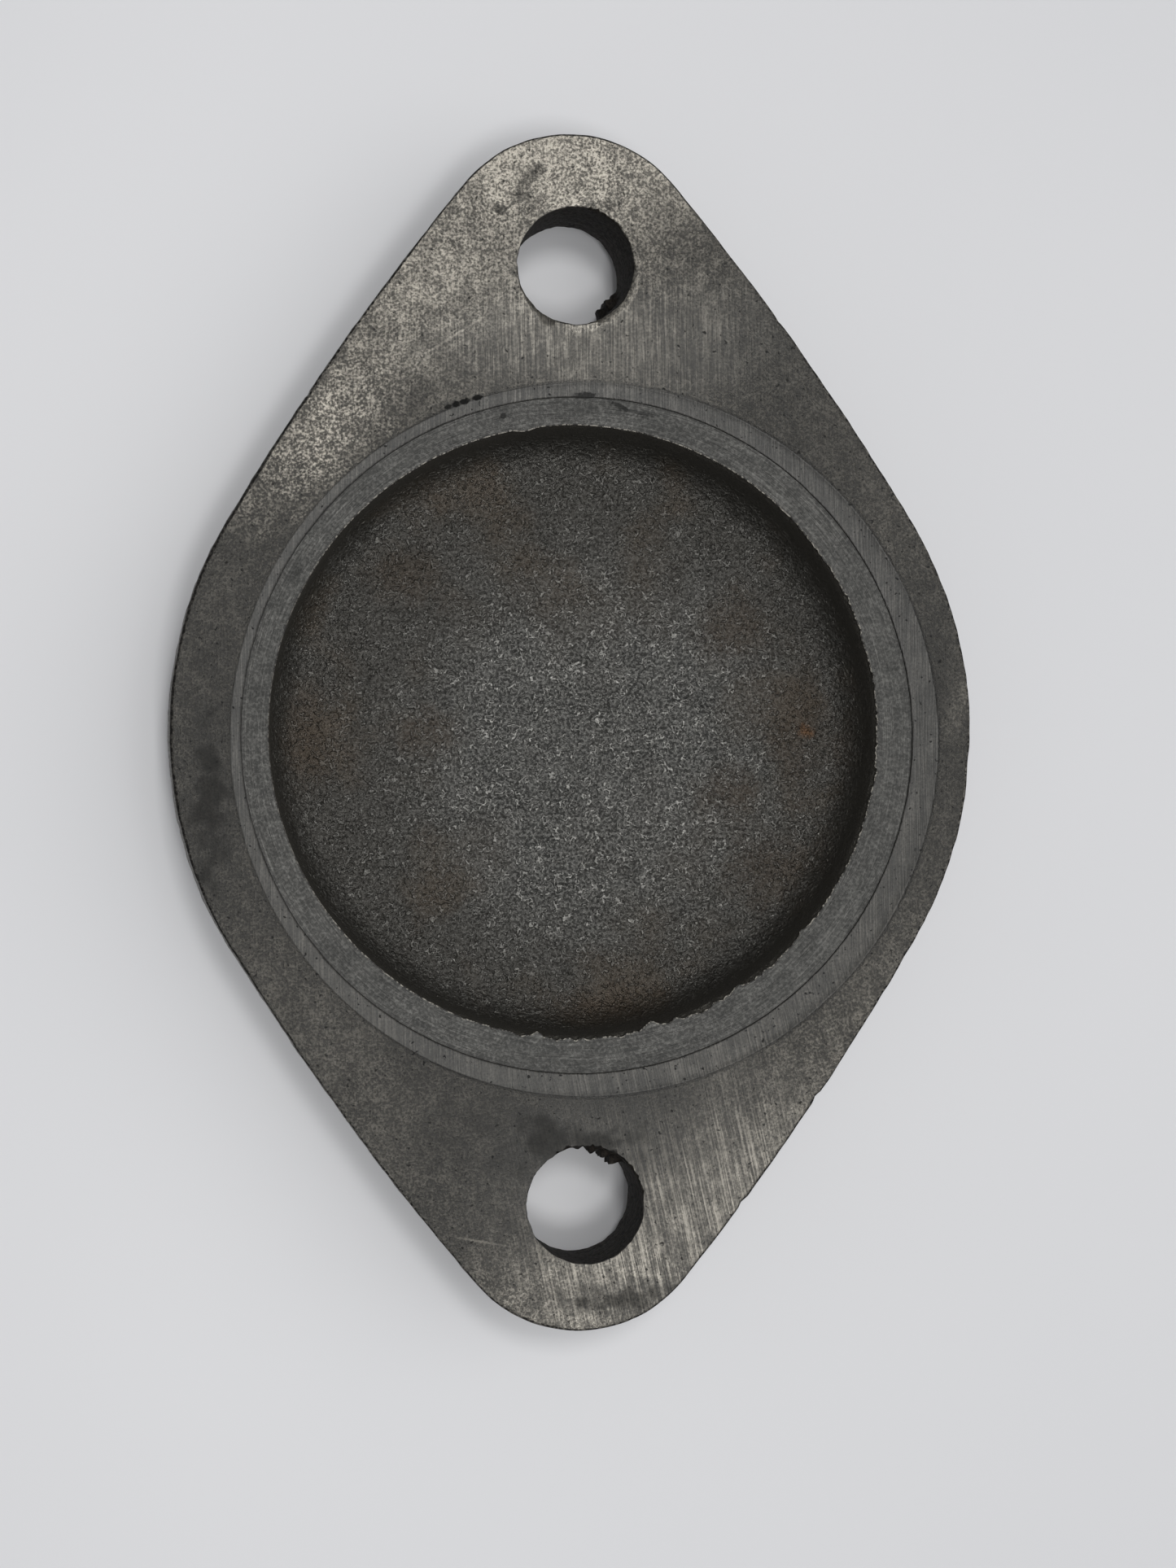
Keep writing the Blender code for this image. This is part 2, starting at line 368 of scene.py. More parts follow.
class Loft:
    """A closed skin made of rings that follow one another, each bridged to the next."""

    def __init__(self):
        self.points = []
        self.coarse = []
        self.fine = []
        self.faces = []
        self.zones = []
        self.total = 0
        self.last = None

    def add_points(self, plan, height, coarse, fine):
        """Adds points at a height and returns the first one's index."""
        start = self.total
        heights = np.broadcast_to(height, len(plan))
        self.points.append(np.column_stack([plan, heights]))
        self.coarse.append(np.full(len(plan), coarse))
        self.fine.append(np.full(len(plan), fine))
        self.total += len(plan)
        return start

    def start(self, place, height, coarse=0.0):
        """The point that the first ring spreads from."""
        self.last = (self.add_points(np.array([place]), height, coarse, 0.0), 1)

    def close(self, place, height, zone):
        """The point that the last ring closes on."""
        end = self.add_points(np.array([place]), height, 0.0, 0.0)
        self.bridge(*self.last, end, 1, zone)

    def ring(self, plan, height, zone, rough=SMOOTH):
        """Adds a ring and bridges the last one to it."""
        start = self.add_points(plan, height, *rough)
        self.bridge(*self.last, start, len(plan), zone)
        self.last = (start, len(plan))

    def bridge(self, a, a_count, b, b_count, zone):
        """Faces from ring a to ring b, which has as many points, half or twice as many, or one."""
        if a_count == 1:
            made = [(a, b + j, b + (j + 1) % b_count) for j in range(b_count)]
        elif b_count == 1:
            made = [(a + j, b, a + (j + 1) % a_count) for j in range(a_count)]
        elif a_count == b_count:
            made = [
                (a + j, b + j, b + (j + 1) % b_count, a + (j + 1) % a_count) for j in range(a_count)
            ]
        elif b_count == 2 * a_count:
            made = []
            for j in range(a_count):
                after = (j + 1) % a_count
                left, middle, right = b + 2 * j, b + 2 * j + 1, b + (2 * j + 2) % b_count
                made += [(a + j, left, middle), (a + j, middle, a + after), (middle, right, a + after)]
        else:
            made = []
            for j in range(b_count):
                after = (j + 1) % b_count
                left, middle, right = a + 2 * j, a + 2 * j + 1, a + (2 * j + 2) % a_count
                made += [(left, b + j, middle), (middle, b + j, b + after), (middle, b + after, right)]
        self.faces += made
        self.zones += [zone] * len(made)

    def build(self, name):
        mesh = bpy.data.meshes.new(name)
        points = np.concatenate(self.points)
        mesh.from_pydata((points * MM).tolist(), [], self.faces)
        mesh.polygons.foreach_set("material_index", self.zones)
        mesh.update()
        self.roughen(mesh, points)
        made = bpy.data.objects.new(name, mesh)
        bpy.context.scene.collection.objects.link(made)
        return made

    def roughen(self, mesh, points):
        """Moves each point along its normal by the unevenness of its surface."""
        normals = np.zeros(len(points) * 3)
        mesh.vertices.foreach_get("normal", normals)
        normals = normals.reshape(-1, 3)
        coarse, fine = np.concatenate(self.coarse), np.concatenate(self.fine)
        lift = np.zeros(len(points))
        for i in np.nonzero(coarse + fine)[0]:
            place = Vector(points[i])
            slow = noise.noise(place / SLOW_SIZE) + 0.5 * noise.noise(place / MIDDLE_SIZE + MIDDLE_SHIFT)
            quick = noise.noise(place / QUICK_SIZE + QUICK_SHIFT)
            lift[i] = coarse[i] * slow + fine[i] * quick
        moved = points + normals * lift[:, None]
        moved[:, 2] = np.maximum(moved[:, 2], BOSS_FACE)
        mesh.vertices.foreach_set("co", (moved * MM).ravel())
        mesh.update()


def add_flat_rings(loft, centre, height, zone, rough, rows):
    """Flat rings, with fewer sides nearer the centre: rows of sides, first radius, last radius, steps."""
    for count, first, last, steps in rows:
        for radius in np.linspace(first, last, steps):
            loft.ring(circle(centre, radius, angles(count)), height, zone, rough)


def pit_depth(plan):
    """How deep the pits are at the given points."""
    depth = np.zeros(len(plan))
    for x, y, half_length, half_width, turn, deep in PITS:
        c, s = cos(radians(turn)), sin(radians(turn))
        along = ((plan[:, 0] - x) * c + (plan[:, 1] - y) * s) / half_length
        across = ((plan[:, 1] - y) * c - (plan[:, 0] - x) * s) / half_width
        depth += deep * smooth(PIT_EDGE - np.hypot(along, across))
    return depth


def rim_radius(turn):
    """The recess's rim, with the tabs, bites and teeth of its burr, rougher on its right and near side."""
    rougher = smooth(bumps(turn, RIM_ROUGHER))
    teeth = np.abs(waves(turn, RECESS_RADIUS, RIM_TEETH)) * (0.2 + rougher)
    waver = waves(turn, RECESS_RADIUS, RIM_WAVES) * (0.4 + rougher)
    return RECESS_RADIUS - (bumps(turn, RIM_TABS) - bumps(turn, RIM_BITES) + waver - teeth)


def add_recess(loft):
    """The recess from its floor's centre to the burr on its rim. Returns the ring where the land starts."""
    lean = tan(RECESS_DRAFT)
    fillet_height = RECESS_FLOOR + RECESS_FLOOR_RADIUS
    wall_foot = RECESS_RADIUS - lean * (FACE - fillet_height)
    fillet_centre = wall_foot - RECESS_FLOOR_RADIUS / cos(RECESS_DRAFT)
    rows = (
        (SIDES // 16, 0.6, 3.6, 6),
        (SIDES // 8, 4.2, 8.0, 7),
        (SIDES // 4, 8.6, 14.0, 10),
        (SIDES // 2, 14.6, fillet_centre - 0.5, 17),
    )
    loft.start(RECESS_CENTRE, RECESS_FLOOR, FLOOR_ROUGH[0])
    add_flat_rings(loft, RECESS_CENTRE, RECESS_FLOOR, RECESS_ZONE, FLOOR_ROUGH, rows)
    turn = angles(SIDES)
    lump = waves(turn, RECESS_RADIUS, WALL_WAVES)
    for share in np.linspace(0.0, 1.0, 9):
        at = -pi / 2 + share * (pi / 2 - RECESS_DRAFT)
        radius = fillet_centre + RECESS_FLOOR_RADIUS * cos(at) + lump * share
        height = fillet_height + RECESS_FLOOR_RADIUS * sin(at)
        loft.ring(circle(RECESS_CENTRE, radius, turn), height, RECESS_ZONE, FILLET_ROUGH)
    wall_top = LAND - BURR_DEPTH
    for share in np.linspace(0.2, 1.0, 5):
        height = fillet_height + (wall_top - fillet_height) * share
        radius = wall_foot + lean * (height - fillet_height) + lump
        loft.ring(circle(RECESS_CENTRE, radius, turn), height, RECESS_ZONE, WALL_ROUGH)
    rim = rim_radius(turn)
    for out, up, zone, rough in RIM_PROFILE:
        land_start = circle(RECESS_CENTRE, rim + out, turn)
        loft.ring(land_start, LAND + up, zone, rough)
    return land_start


def add_register(loft, land_start):
    """The register's land and the steep step round it. Returns the ring at the step's top."""
    turn = angles(SIDES)
    step_radius = REGISTER_RADIUS - REGISTER_INSET + waves(turn, REGISTER_RADIUS, REGISTER_WAVES)
    step = circle(TURNED_CENTRE, step_radius, turn)
    for share in np.linspace(0.12, 1.0, 8):
        plan = land_start + (step - land_start) * share
        loft.ring(plan, LAND - pit_depth(plan), LAND_ZONE, LAND_ROUGH)
    for out, down in REGISTER_STEP:
        plan = circle(TURNED_CENTRE, step_radius + out, turn)
        loft.ring(plan, FACE - RING_DROP - down - pit_depth(plan), FLANGE_ZONE)
    return plan


def add_flange_face(loft, inner):
    """The contact ring, its outer groove, the flange's face and its rounded edge. Returns the outline."""
    turn = angles(SIDES)
    ring_radius = RING_RADIUS + waves(turn, RING_RADIUS, RING_WAVES)
    witness = circle(RING_CENTRE, ring_radius - GROOVE_WIDTH, turn)
    for share in (0.33, 0.67, 1.0):
        plan = inner + (witness - inner) * share
        loft.ring(plan, FACE - RING_DROP - pit_depth(plan), FLANGE_ZONE, RING_ROUGH)
    groove = RING_GROOVE_DEPTH * smooth(bumps(turn, RING_GROOVE))
    loft.ring(circle(RING_CENTRE, ring_radius, turn), FACE - RING_DROP - groove, FLANGE_ZONE)
    for out in RING_SHOULDER:
        shoulder = circle(RING_CENTRE, ring_radius + out, turn)
        loft.ring(shoulder, FACE, FLANGE_ZONE)
    outline = outline_radius(turn)
    rounding = EDGE_ROUNDING * (1.0 + waves(turn, MEAN_RADIUS, ROUNDING_WAVES)) + bumps(turn, WIDER_ROUNDING)
    held = circle(CAST_CENTRE, outline - rounding - EDGE_MARGIN, turn)
    for share in np.linspace(0.08, 1.0, 14):
        loft.ring(shoulder + (held - shoulder) * share, FACE, FLANGE_ZONE, FLANGE_ROUGH)
    loft.ring(circle(CAST_CENTRE, outline - rounding, turn), FACE, FLANGE_ZONE, FLANGE_ROUGH)
    for lift, zone in ((30, EDGE_ZONE), (60, EDGE_ZONE), (90, SIDE_ZONE)):
        out = rounding * (1.0 - sin(radians(lift)))
        down = rounding * (1.0 - cos(radians(lift)))
        loft.ring(circle(CAST_CENTRE, outline - out, turn), FACE - down, zone, EDGE_ROUGH)
    return outline


def add_sides_and_back(loft, outline):
    """The flange's sides, its back and the back boss, which closes the skin."""
    turn = angles(SIDES)
    wall_top, wall_foot = FACE - EDGE_ROUNDING, FLANGE_BACK + EDGE_ROUNDING
    for share in np.linspace(0.06, 1.0, 16):
        height = wall_top + (wall_foot - wall_top) * share
        loft.ring(circle(CAST_CENTRE, outline, turn), height, SIDE_ZONE, SIDE_ROUGH)
    for lift in (30, 60, 90):
        out = EDGE_ROUNDING * (1.0 - cos(radians(lift)))
        down = EDGE_ROUNDING * sin(radians(lift))
        loft.ring(circle(CAST_CENTRE, outline - out, turn), wall_foot - down, SIDE_ZONE, BACK_ROUGH)
    edge = circle(CAST_CENTRE, outline - EDGE_ROUNDING, turn)
    root = circle(CAST_CENTRE, BOSS_RADIUS + BOSS_FILLET, turn)
    for share in np.linspace(0.12, 1.0, 8):
        loft.ring(edge + (root - edge) * share, FLANGE_BACK, BACK_ZONE, BACK_ROUGH)
    for share in np.linspace(0.25, 1.0, 4):
        radius = BOSS_RADIUS + BOSS_FILLET * (1.0 - sin(share * pi / 2))
        height = FLANGE_BACK - BOSS_FILLET * (1.0 - cos(share * pi / 2))
        loft.ring(circle(CAST_CENTRE, radius, turn), height, BACK_ZONE, BACK_ROUGH)
    for share in np.linspace(0.0, 1.0, 5):
        radius = BOSS_RADIUS - BOSS_FILLET * (1.0 - cos(share * pi / 2))
        height = BOSS_FACE + BOSS_FILLET * (1.0 - sin(share * pi / 2))
        loft.ring(circle(CAST_CENTRE, radius, turn), height, BACK_ZONE, BOSS_EDGE_ROUGH)
    rows = (
        (SIDES, 30.7, 30.7, 1),
        (SIDES // 2, 29.8, 17.0, 14),
        (SIDES // 4, 16.0, 9.0, 8),
        (SIDES // 8, 8.0, 4.5, 4),
        (SIDES // 16, 3.5, 1.2, 3),
    )
    add_flat_rings(loft, CAST_CENTRE, BOSS_FACE + BOSS_SKIN, BACK_ZONE, BOSS_ROUGH, rows)
    loft.close(CAST_CENTRE, BOSS_FACE + BOSS_SKIN, BACK_ZONE)


def hole_noise(turn, height, reach, feature_height, seed):
    """Noise on a hole's wall at one height."""
    level = height / feature_height + seed
    return np.array([noise.noise((reach * cos(a), reach * sin(a), level)) for a in turn])


def hole_cutter(name, opening, foot_radius, lumps, bevel, teeth, seed):
    """A rough bore from below the flange to above its face, wider at its mouth where it is bevelled."""
    place = tuple(OPENINGS[opening].xy)
    loft = Loft()
    turn = angles(HOLE_SIDES)
    heights = [FLANGE_BACK - HOLE_OVERSHOOT, FLANGE_BACK - 0.1]
    heights += list(np.linspace(FLANGE_BACK + 0.15, FACE - 0.6, 24))
    heights += [FACE - 0.35, FACE - 0.14, FACE + 0.02, FACE + HOLE_OVERSHOOT]
    grain_reach, grain_height, grain_depth = HOLE_GRAIN
    fine_reach, fine_height, fine_depth = HOLE_FINE
    loft.start(place, heights[0])
    for height in heights:
        share = (height - FLANGE_BACK) / (FACE - FLANGE_BACK)
        radius = foot_radius + (HOLE_RADIUS - foot_radius) * np.clip(share, 0.0, 1.0)
        grain = hole_noise(turn, height, grain_reach, grain_height, seed)
        fine = hole_noise(turn, height, fine_reach, fine_height, seed)
        reach = grain_depth * grain + fine_depth * fine
        for centre, half_width, low, high, reach_in in lumps:
            level = smooth((height - low + LUMP_RISE) / LUMP_RISE) * smooth((high - height) / LUMP_FALL)
            reach = reach + level * bumps(turn, ((centre, half_width, reach_in),)) * (1.0 + 0.5 * grain)
        near_mouth = np.clip(1.0 - (FACE - height) / MOUTH_BEVEL_HEIGHT, 0.0, 1.0)
        toothed = smooth(1.0 - (FACE - height) / MOUTH_TEETH_HEIGHT)
        reach = reach - near_mouth * (MOUTH_BEVEL + bumps(turn, bevel))
        reach = reach - toothed * bumps(turn, teeth) * np.abs(fine) * 2.0
        zone = FLANGE_ZONE if height > FACE - MOUTH_ZONE_HEIGHT else HOLE_ZONE
        loft.ring(circle(place, radius - reach, turn), height, zone)
    loft.close(place, heights[-1], HOLE_ZONE)
    cutter = loft.build(name)
    if is_inside_out(cutter.data):
        cutter.data.flip_normals()
    return cutter


def is_inside_out(mesh):
    """True if a closed mesh's faces look inward, by the sign of its volume."""
    total = 0.0
    points = [vertex.co for vertex in mesh.vertices]
    for face in mesh.polygons:
        first = points[face.vertices[0]]
        for i in range(1, len(face.vertices) - 1):
            total += first.dot(points[face.vertices[i]].cross(points[face.vertices[i + 1]]))
    return total < 0.0


class Painter:
    """A short way to write a material's nodes. Its coordinates are the object's own, in millimetres."""

    def __init__(self, name):
        self.material = bpy.data.materials.new(name)
        self.material.use_nodes = True
        self.tree = self.material.node_tree
        self.shader = self.tree.nodes["Principled BSDF"]
        coordinates = self.add("ShaderNodeTexCoord")
        scaling = {0: coordinates.outputs["Object"], "Scale": 1 / MM}
        self.place = self.add("ShaderNodeVectorMath", scaling, operation="SCALE").outputs[0]
        self.x, self.y, self.z = self.add("ShaderNodeSeparateXYZ", {0: self.place}).outputs

    def put(self, socket, value):
        """Gives a socket another socket's output or a constant."""
        if isinstance(value, bpy.types.NodeSocket):
            self.tree.links.new(value, socket)
        else:
            socket.default_value = value

    def add(self, kind, values=None, **settings):
        node = self.tree.nodes.new(kind)
        for key, value in settings.items():
            setattr(node, key, value)
        for key, value in (values or {}).items():
            self.put(node.inputs[key], value)
        return node

    def math(self, operation, *values):
        return self.add("ShaderNodeMath", dict(enumerate(values)), operation=operation).outputs[0]

    def chain(self, operation, first, *rest):
        """Joins any number of values by an operation, from left to right."""
        for value in rest:
            first = self.math(operation, first, value)
        return first

    def plus(self, *values):
        return self.chain("ADD", *values)

    def times(self, *values):
        return self.chain("MULTIPLY", *values)

    def minus(self, first, second):
        return self.math("SUBTRACT", first, second)

    def largest(self, *values):
        return self.chain("MAXIMUM", *values)

    def off(self, value, middle):
        """The distance of value from middle."""
        return self.math("ABSOLUTE", self.minus(value, middle))

    def ramp(self, value, low, high, start=0.0, end=1.0):
        """Goes smoothly from start to end as value goes from low to high."""
        values = {"Value": value, "From Min": low, "From Max": high, "To Min": start, "To Max": end}
        return self.add("ShaderNodeMapRange", values, interpolation_type="SMOOTHSTEP").outputs[0]

    def fade(self, share, first, second):
        """A mix of two numbers."""
        return self.add("ShaderNodeMix", {0: share, 2: first, 3: second}, data_type="FLOAT").outputs[0]

    def mix(self, share, first, second):
        """A mix of two colours, each a socket or three numbers."""
        node = self.add("ShaderNodeMix", {0: share}, data_type="RGBA")
        for index, colour in ((6, first), (7, second)):
            self.put(node.inputs[index], (*colour, 1.0) if isinstance(colour, tuple) else colour)
        return node.outputs[2]

    def distance(self, x, y):
        """The length of the vector (x, y)."""
        join = self.add("ShaderNodeCombineXYZ", {0: x, 1: y, 2: 0.0}).outputs[0]
        return self.add("ShaderNodeVectorMath", {0: join}, operation="LENGTH").outputs["Value"]

    def radius_from(self, centre):
        """The distance in plan from a centre."""
        return self.distance(self.minus(self.x, centre[0]), self.minus(self.y, centre[1]))

    def stretch(self, turn, along, across):
        """Coordinates turned about Z, with features long in one direction."""
        turning = {"Vector": self.place, "Angle": radians(turn)}
        turned = self.add("ShaderNodeVectorRotate", turning, rotation_type="Z_AXIS").outputs[0]
        scale = Vector((1 / across, 1 / along, 1 / across))
        return self.add("ShaderNodeVectorMath", {0: turned, 1: scale}, operation="MULTIPLY").outputs[0]

    def grain(self, size, detail=2.0, roughness=0.5, vector=None, distortion=0.0):
        """Noise with features of the given size, or of its vector's own scale when size is 1."""
        values = {
            "Vector": self.place if vector is None else vector,
            "Scale": 1.0 / size,
            "Detail": detail,
            "Roughness": roughness,
            "Distortion": distortion,
        }
        return self.add("ShaderNodeTexNoise", values).outputs[0]

    def patch(self, x, y, half_length, half_width, turn=0.0, soft=0.5, ragged=0.3):
        """1 inside an irregular patch of the face, 0 outside it."""
        c, s = cos(radians(turn)), sin(radians(turn))
        dx, dy = self.minus(self.x, x), self.minus(self.y, y)
        along = self.plus(self.times(dx, c / half_length), self.times(dy, s / half_length))
        across = self.minus(self.times(dy, c / half_width), self.times(dx, s / half_width))
        rough = self.times(self.minus(self.grain(max(half_width, 0.3), 3.0), 0.5), ragged * 4)
        return self.ramp(self.plus(self.distance(along, across), rough), 1.0 + soft, 1.0 - soft)

    def patches(self, join, rows):
        """Patches joined by plus or largest, each row a patch's numbers and, last, its strength."""
        return join(*[self.times(self.patch(*patch), strength) for *patch, strength in rows])

    def bump(self, height, depth):
        """A normal for a height that rises by depth, in millimetres, as its value goes from 0 to 1."""
        values = {"Height": height, "Distance": depth * MM, "Strength": 1.0}
        return self.add("ShaderNodeBump", values).outputs[0]

    def finish(self, colour, roughness, normal, metallic):
        """Joins everything to the shader and returns the material."""
        for name, value in (
            ("Base Color", colour),
            ("Roughness", roughness),
            ("Normal", normal),
            ("Metallic", metallic),
        ):
            self.put(self.shader.inputs[name], value)
        return self.material


def pits_mask(paint):
    """The pits of the machined faces, blacker where they are deeper."""
    rows = [
        (x, y, 1.1 * half_length, 1.1 * half_width, turn, 0.3, 0.35, min(1.0, deep / BLACKEST_PIT_DEPTH))
        for x, y, half_length, half_width, turn, deep in PITS
    ]
    return paint.patches(paint.largest, rows)


def grinding(paint, along, across, low, high):
    """Grinding lines: upright over most of the face, leaning about 12 degrees round the near bolt hole."""
    upright = paint.grain(1.0, 2.0, 0.6, paint.stretch(0, along, across))
    leaning = paint.grain(1.0, 2.0, 0.6, paint.stretch(-12, along, across))
    near = paint.ramp(paint.minus(paint.y, paint.times(paint.x, 0.35)), -24.0, -36.0)
    return paint.ramp(paint.fade(near, upright, leaning), low, high)


def ground_wear_and_highlight(paint, grains, lower_right):
    """How brightly the flange's face is worn, with a painted highlight: most at its far tip, its upper left
    and its lower right. The lightening towards the far tip and in the worn patches is partly wear and partly
    a painted highlight of the lamps' reflection.
    """
    # Painted highlight and wear: lighter towards the far tip, and more on its left
    far_tip_wear_and_highlight = paint.times(paint.ramp(paint.y, 22.0, 56.0), paint.ramp(paint.x, 22.0, -6.0, 0.08, 1.1))
    bright_flank = paint.times(paint.patch(*BRIGHT_FLANK), paint.ramp(grains, 0.42, 0.64, 0.1, 1.0))
    corner = paint.ramp(lower_right, 28.0, 46.0, 0.0, 0.5)
    return paint.plus(far_tip_wear_and_highlight, corner, bright_flank, paint.patches(paint.plus, WORN_AND_HIGHLIGHT_PATCHES))


def far_hole_bevel_highlight(paint, grains, lower_right):
    """A painted highlight: a lighter crescent on the lower right of the far bolt hole's mouth, where its
    bevel catches the light.
    """
    hole = OPENINGS["bolt_hole_far"]
    beside = paint.ramp(paint.off(paint.radius_from(hole), HOLE_RADIUS + 0.45), 0.5, 0.1)
    below = paint.ramp(lower_right, 2.5 - 0.8 * hole.y, 5.5 - 0.8 * hole.y)
    return paint.times(beside, below, paint.ramp(grains, 0.4, 0.62, 0.05, 0.3))


def ground_iron():
    """The flange's ground face with the contact ring in it."""
    paint = Painter("ground_iron")
    fine_lines = grinding(paint, 5.0, 0.15, 0.36, 0.66)
    bold_lines = grinding(paint, 9.0, 0.23, 0.48, 0.64)
    small, large = paint.grain(0.24, 3.0, 0.65), paint.grain(0.75, 4.0, 0.7)
    grains = paint.plus(paint.times(small, 0.8), paint.times(large, 0.2))
    crisp = paint.ramp(grains, 0.315, 0.715)
    mottle = paint.ramp(paint.grain(1.7, 4.0, 0.65), 0.34, 0.66)
    cloud = paint.ramp(paint.grain(8.0, 3.0, 0.5), 0.35, 0.65)
    lower_right = paint.minus(paint.times(paint.x, 0.6), paint.times(paint.y, 0.8))

    # Where grinding lines show, and where grains do
    from_ring = paint.radius_from(RING_CENTRE)
    in_ring = paint.ramp(from_ring, RING_RADIUS + 0.12, RING_RADIUS - 0.12)
    smooth_foot = paint.patch(*SMOOTH_FOOT)
    ground = paint.largest(in_ring, paint.patch(*SMOOTH_TOP), paint.times(smooth_foot, 0.8))
    bold = paint.times(bold_lines, paint.plus(paint.times(smooth_foot, 0.6), 0.1))
    lined = paint.plus(paint.times(fine_lines, 0.4), bold, paint.times(crisp, 0.4))
    grainy = paint.plus(paint.ramp(crisp, 0.0, 1.0, 0.12, 0.88), paint.times(fine_lines, 0.12))
    tone = paint.fade(ground, grainy, lined)
    tone = paint.times(tone, paint.plus(paint.times(mottle, 0.4), 0.62))
    tone = paint.ramp(paint.plus(tone, paint.times(cloud, 0.08)), 0.0, 1.05, 0.05, 0.92)

    # Wear with painted highlight, stains with painted shade, and scratches; the far bolt hole's crescent is a
    # painted highlight
    # Stains, with painted shade at the left and right edges and below the ring
    stain_and_shade = paint.patches(paint.largest, STAINS_AND_SHADE)
    shade = paint.times(tone, paint.plus(ground_wear_and_highlight(paint, grains, lower_right), 0.18))
    shade = paint.times(shade, paint.minus(1.0, paint.times(stain_and_shade, 0.7)))
    shade = paint.plus(shade, paint.patches(paint.plus, SCRATCHES), far_hole_bevel_highlight(paint, grains, lower_right))
    colour = paint.mix(paint.times(shade, 0.7), GROUND_DARK, GROUND_LIGHT)

    # The contact ring and the dark line round it
    ring_colour = paint.mix(tone, RING_DARK, RING_LIGHT)
    ring_share = paint.times(in_ring, paint.ramp(paint.y, -25.0, 25.0, 0.4, 0.75))
    colour = paint.mix(ring_share, colour, ring_colour)
    line = paint.ramp(paint.off(from_ring, RING_RADIUS + 0.05), 0.24, 0.04)
    line = paint.times(line, paint.ramp(paint.x, -24.0, -12.0, 0.0, 0.5))
    line = paint.times(line, paint.plus(paint.times(mottle, 0.5), 0.5))

    specks = paint.ramp(paint.grain(0.5, 2.0, 0.5), 0.36, 0.29)
    dark = paint.largest(line, paint.times(pits_mask(paint), 0.9), paint.times(specks, 0.7))
    colour = paint.mix(dark, colour, PIT_BLACK)
    height = paint.times(paint.plus(grains, paint.times(crisp, 0.2)), paint.minus(1.2, ground))
    height = paint.plus(height, paint.times(fine_lines, 0.12))
    roughness = paint.largest(paint.ramp(shade, 0.05, 0.8, 0.38, 0.28), paint.times(stain_and_shade, 0.55), dark)
    return paint.finish(colour, roughness, paint.bump(height, 0.055), 0.5)


def turned_iron():
    """The register's land, with the tool marks of its turning, pits and stains, and dirt with painted shade
    in the corner at its step.
    """
    paint = Painter("turned_iron")
    radius = paint.radius_from(TURNED_CENTRE)
    cosine = paint.math("DIVIDE", paint.x, radius)
    sine = paint.math("DIVIDE", paint.y, radius)

    def wound(across, along):
        """Noise drawn out along the turning."""
        parts = {
            0: paint.times(radius, 1.0 / across),
            1: paint.times(cosine, REGISTER_RADIUS / along),
            2: paint.times(sine, REGISTER_RADIUS / along),
        }
        return paint.grain(1.0, 2.0, 0.6, paint.add("ShaderNodeCombineXYZ", parts).outputs[0])

    marks = paint.ramp(wound(0.14, 7.0), 0.38, 0.62)
    bold = paint.ramp(wound(0.3, 14.0), 0.6, 0.68)
    deep = paint.ramp(wound(0.22, 9.0), 0.35, 0.29)
    speckle = paint.ramp(paint.grain(0.3, 3.0, 0.65), 0.4, 0.6)
    mottle = paint.ramp(paint.grain(1.3, 4.0, 0.65), 0.35, 0.65)
    shade = paint.plus(
        paint.times(marks, 0.18),
        paint.times(speckle, 0.38),
        paint.times(mottle, 0.24),
        paint.times(bold, 0.22),
    )
    colour = paint.mix(shade, TURNED_DARK, TURNED_LIGHT)
    dark = paint.largest(paint.times(pits_mask(paint), 0.85), paint.times(deep, 0.35))
    # Dirt and painted shade: darker in the corner at the foot of the register's step
    step = paint.times(paint.ramp(radius, 31.75, 31.92), 0.2)
    colour = paint.mix(paint.largest(dark, step), colour, TURNED_BLACK)
    height = paint.plus(paint.times(marks, 0.25), paint.times(speckle, 0.2))
    roughness = paint.largest(paint.ramp(shade, 0.1, 0.9, 0.5, 0.4), dark)
    return paint.finish(colour, roughness, paint.bump(height, 0.05), 0.45)


def worn_edge():
    """Bare metal where an edge is worn or burred."""
    paint = Painter("worn_edge")
    grains = paint.grain(0.35, 3.0, 0.65)
    worn = paint.times(paint.ramp(grains, 0.44, 0.62), paint.ramp(paint.x, -27.0, -22.0, 0.35, 1.0))
    return paint.finish(paint.mix(worn, BURR_DARK, BURR_LIGHT), 0.45, paint.bump(grains, 0.05), 0.75)


def sand_grain(paint):
    """The skin that moulding sand leaves: worm-like ridges in patches, and grains. Returns both."""
    field = paint.grain(0.42, 0.0, 0.5, None, 0.5)
    patchy = paint.ramp(paint.grain(0.8, 1.0, 0.5), 0.45, 0.54)
    ridges = paint.times(paint.ramp(paint.off(field, 0.5), 0.1, 0.04), patchy)
    return ridges, paint.grain(0.3, 3.0, 0.6)


